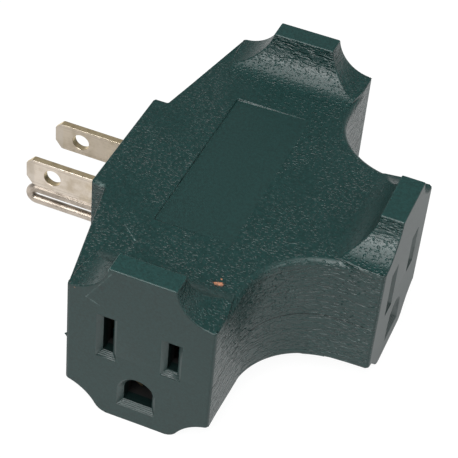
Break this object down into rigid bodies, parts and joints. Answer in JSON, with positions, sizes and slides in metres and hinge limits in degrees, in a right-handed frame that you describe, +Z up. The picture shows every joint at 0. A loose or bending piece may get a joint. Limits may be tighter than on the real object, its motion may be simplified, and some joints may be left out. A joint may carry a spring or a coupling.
{
  "type": "three-outlet plug adapter",
  "caption": "Moulded T-shaped grounded plug adapter: one plug with flat blades and a looped ground pin, and a grounded outlet on each of the other ends.",
  "frame": {"origin": "middle of the plug face, on the centre line of the two blades", "axes": "+X along the side arms, +Y from the plug towards the front outlet, +Z up, away from the ground pin; the blades point along -Y"},
  "size_m": [0.0834, 0.0802, 0.0368],
  "materials": {
    "green_pvc": "soft dark green PVC, leather grained round the body and smooth matte on the outlet faces",
    "bridge_plastic": "rigid dark moulding",
    "carrier_plastic": "rigid black moulding",
    "plated_brass": "nickel-plated brass, with the yellow metal showing on the cut edges",
    "plated_rod": "drawn nickel-plated brass rod",
    "strip_brass": "bare rolled brass",
    "contact_brass": "bare spring brass",
    "rivet_brass": "headed brass"
  },
  "bodies": {
    "root": {"outer_jacket": "green_pvc", "blade_bridge": "bridge_plastic", "carrier_cover": "carrier_plastic", "carrier_base": "carrier_plastic", "ground_tray": "carrier_plastic", "line_blade": "plated_brass", "neutral_blade": "plated_brass", "ground_pin": "plated_rod", "line_strip": "strip_brass", "neutral_strip": "strip_brass", "ground_strip": "strip_brass", "line_contact_left": "contact_brass", "line_contact_right": "contact_brass", "line_contact_front": "contact_brass", "neutral_contact_left": "contact_brass", "neutral_contact_right": "contact_brass", "neutral_contact_front": "contact_brass", "ground_contact_left": "contact_brass", "ground_contact_right": "contact_brass", "ground_contact_front": "contact_brass", "line_rivets": "rivet_brass", "neutral_rivets": "rivet_brass", "ground_rivets": "rivet_brass"}
  },
  "joints": []
}
